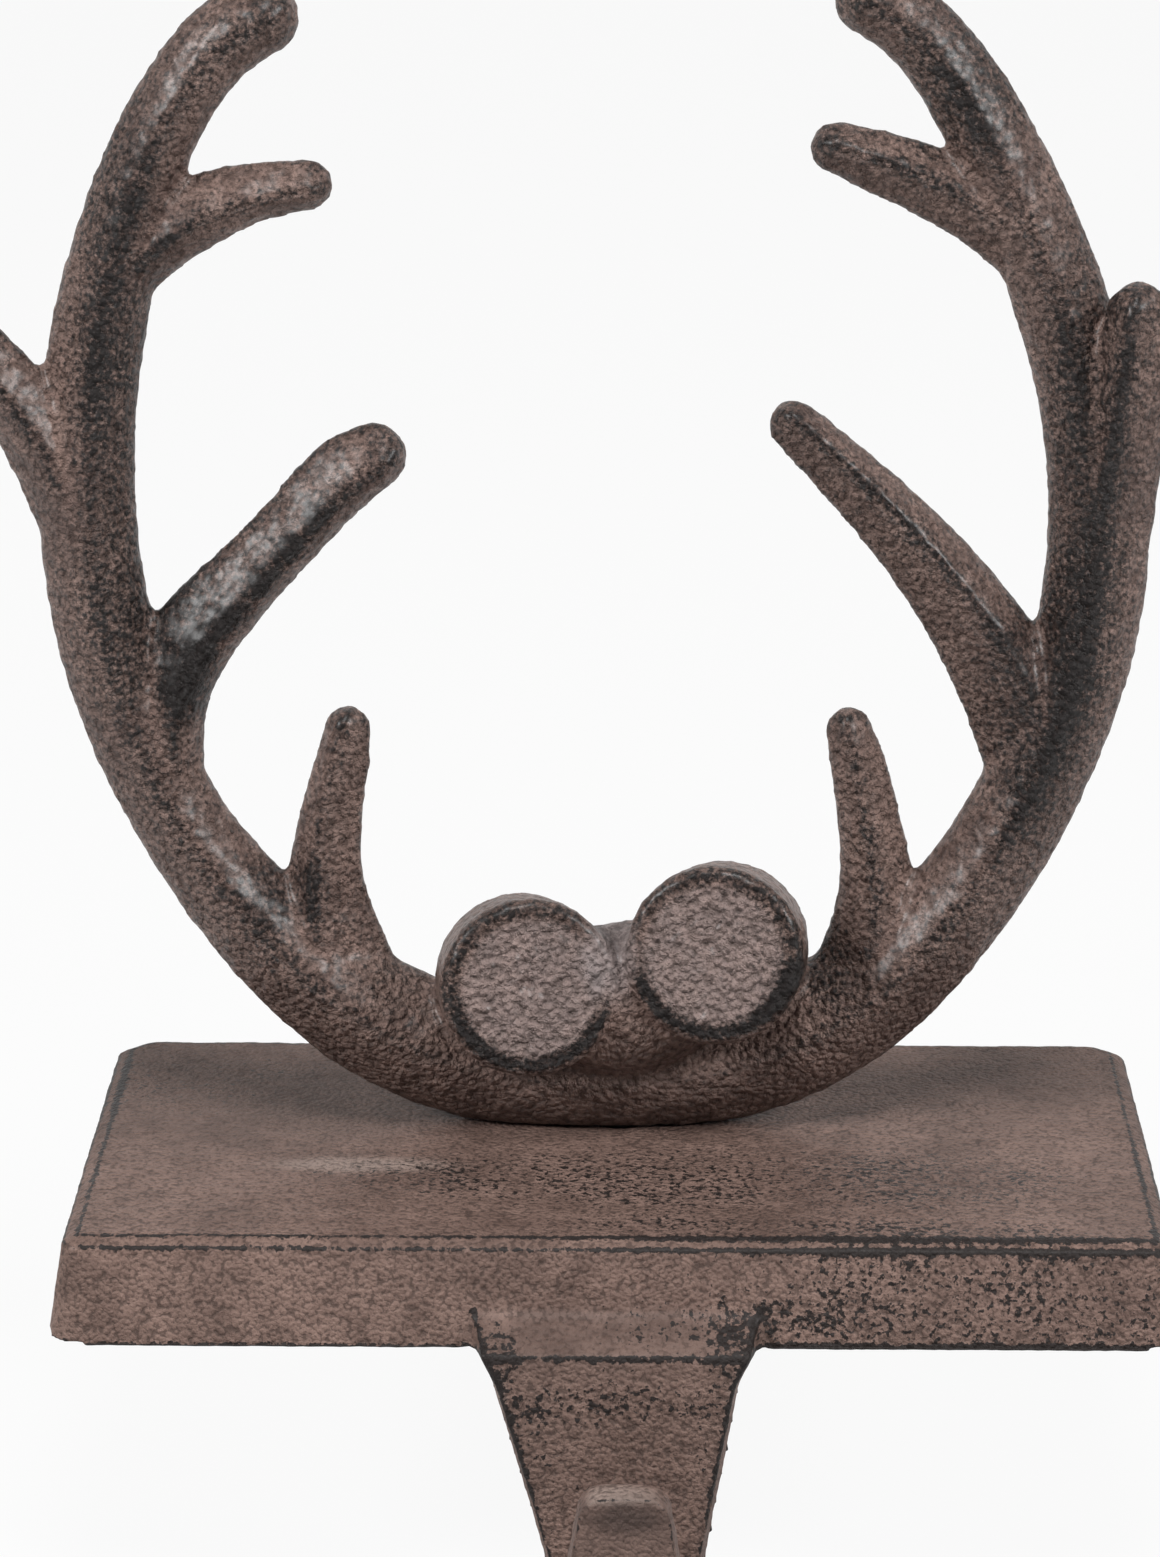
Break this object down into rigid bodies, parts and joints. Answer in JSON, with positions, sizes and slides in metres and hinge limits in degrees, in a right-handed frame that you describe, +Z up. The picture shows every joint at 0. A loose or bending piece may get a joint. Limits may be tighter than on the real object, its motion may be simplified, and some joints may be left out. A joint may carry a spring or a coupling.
{
  "type": "mantel stocking holder",
  "caption": "Cast iron mantel stocking holder: a heavy base with a hook over the mantel's edge carries a wreath of antlers.",
  "frame": {"origin": "middle of the base's bottom front edge, on the plane of the mantel's top", "axes": "+X along the mantel to the right as seen from the room, +Y back over the mantel, +Z up; the hook hangs in front, towards -Y and below Z = 0"},
  "size_m": [0.1575, 0.108, 0.2052],
  "materials": {
    "antler_iron": "coarse sand-cast iron in matte brown paint, rubbed dark on crests and edges",
    "base_iron": "sand-cast iron in matte brown paint, rubbed dark on edges",
    "screw_steel": "plain zinc-plated steel"
  },
  "bodies": {
    "root": {"antlers": "antler_iron", "mantel_base": "base_iron", "fixing_screw": "screw_steel"}
  },
  "joints": []
}
